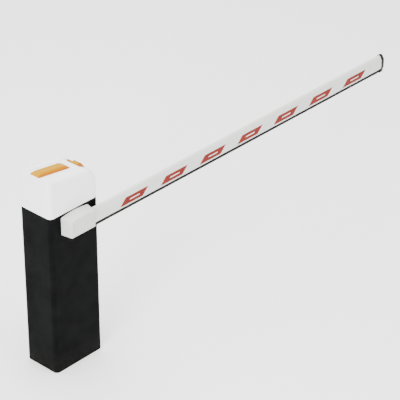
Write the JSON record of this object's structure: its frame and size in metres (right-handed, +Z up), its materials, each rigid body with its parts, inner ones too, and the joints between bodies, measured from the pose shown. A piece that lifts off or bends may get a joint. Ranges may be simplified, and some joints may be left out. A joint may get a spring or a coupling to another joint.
{
  "type": "parking barrier gate",
  "caption": "Floor-standing lane barrier: slim steel cabinet with a domed lift-off cap and amber lamps, and a horizontal boom that a geared drive swings up to vertical.",
  "frame": {"origin": "centre of the anchor slots at the cabinet's underside, on the floor", "axes": "+X along the closed boom, +Z up, -Y out of the face that carries the boom"},
  "size_m": [2.355, 0.2735, 1.0446],
  "materials": {
    "cabinet_paint": "satin powder coat",
    "cap_plastic": "smooth white moulding",
    "cover_plastic": "fine-grained light grey moulding",
    "lens_amber": "translucent amber moulding",
    "zinc_steel": "zinc plated",
    "ground_steel": "ground",
    "cast_housing": "cast, shot blasted",
    "boom_aluminium": "white coated extrusion",
    "bronze": "machined bronze",
    "black_rubber": "matt",
    "black_plastic": "fine texture",
    "motor_paint": "grey-blue enamel",
    "copper_core": "varnished winding",
    "board_green": "solder mask",
    "sticker_red": "retroreflective film",
    "capacitor_case": "plain",
    "transformer_core": "varnished laminations"
  },
  "bodies": {
    "cabinet": {"cabinet_shell": "cabinet_paint", "base_plate": "zinc_steel", "cable_grommet": "black_rubber", "cap_studs": "zinc_steel", "hinge_leaves": "cabinet_paint", "hinge_pins": "ground_steel", "door_seal": "black_rubber", "chassis_plate": "zinc_steel", "gearbox_housing": "cast_housing", "gearbox_cover": "cast_housing", "gearbox_bolts": "zinc_steel", "shaft_seal": "black_rubber", "bearing_outer_rings": "ground_steel", "motor_stator": "copper_core", "motor_housing": "motor_paint", "motor_end_cap": "cast_housing", "rotor_bearings": "bronze", "balance_spring": "motor_paint", "spring_bottom_plug": "zinc_steel", "tension_rod": "zinc_steel", "tension_nuts": "zinc_steel", "spring_anchor": "zinc_steel", "yoke_guide": "zinc_steel", "stop_buffers": "black_rubber", "limit_sensors": "board_green", "control_panel": "zinc_steel", "control_board": "board_green", "run_capacitor": "capacitor_case", "transformer": "transformer_core"},
    "door": {"service_door": "cabinet_paint", "lock_housing": "zinc_steel"},
    "lock": {"lock_plug": "ground_steel"},
    "cap": {"top_cap": "cap_plastic", "lens_top": "lens_amber", "lens_rear": "lens_amber", "lamp_boards": "board_green"},
    "boom": {"output_shaft": "ground_steel", "bearing_inner_rings": "ground_steel", "bearing_balls": "ground_steel", "worm_wheel": "bronze", "crank_lever": "ground_steel", "crank_pin": "ground_steel", "crank_roller": "ground_steel", "limit_disc": "ground_steel", "boom_bracket": "zinc_steel", "boom_bolts": "zinc_steel", "boom_spacers": "zinc_steel", "clamp_plate": "zinc_steel", "boom_profile": "boom_aluminium", "boom_root_plug": "black_plastic", "boom_edge_rubber": "black_rubber", "boom_end_cap": "black_plastic", "boom_stickers": "sticker_red", "hub_cover": "cover_plastic", "hub_cover_screws": "zinc_steel"},
    "rotor": {"motor_rotor": "ground_steel", "worm": "ground_steel"},
    "yoke": {"spring_yoke": "zinc_steel", "spring_top_plug": "zinc_steel"},
    "release": {"release_knob": "sticker_red"}
  },
  "joints": [
    {"name": "boom_lift", "type": "hinge", "parent": "cabinet", "child": "boom", "pos_m": [0, -0.1, 0.784], "axis": [0, -1, 0], "range_deg": [0, 90]},
    {"name": "rotor_spin", "type": "hinge", "parent": "cabinet", "child": "rotor", "pos_m": [0.059, -0.0525, 0.7], "axis": [0, 0, 1], "range_deg": [0, 2700]},
    {"name": "yoke_slide", "type": "slide", "parent": "cabinet", "child": "yoke", "axis": [0, 0, -1], "range_m": [0, 0.08486], "deforming": ["balance_spring"]},
    {"name": "door_hinge", "type": "hinge", "parent": "cabinet", "child": "door", "pos_m": [-0.118, 0.107, 0.4], "axis": [0, 0, 1], "range_deg": [0, 110]},
    {"name": "lock_turn", "type": "hinge", "parent": "door", "child": "lock", "pos_m": [0.098, 0.1, 0.416], "axis": [0, -1, 0], "range_deg": [0, 90]},
    {"name": "cap_lift", "type": "slide", "parent": "cabinet", "child": "cap", "axis": [0, 0, 1], "range_m": [0, 0.22]},
    {"name": "release_turn", "type": "hinge", "parent": "cabinet", "child": "release", "pos_m": [0.041, -0.01, 0.82], "axis": [0, -1, 0], "range_deg": [0, 90]}
  ],
  "couplings": [
    {"joint": "rotor_spin", "follows": "boom_lift", "ratio": 30},
    {"joint": "yoke_slide", "follows": "boom_lift", "m_per_rad": 0.054019}
  ]
}
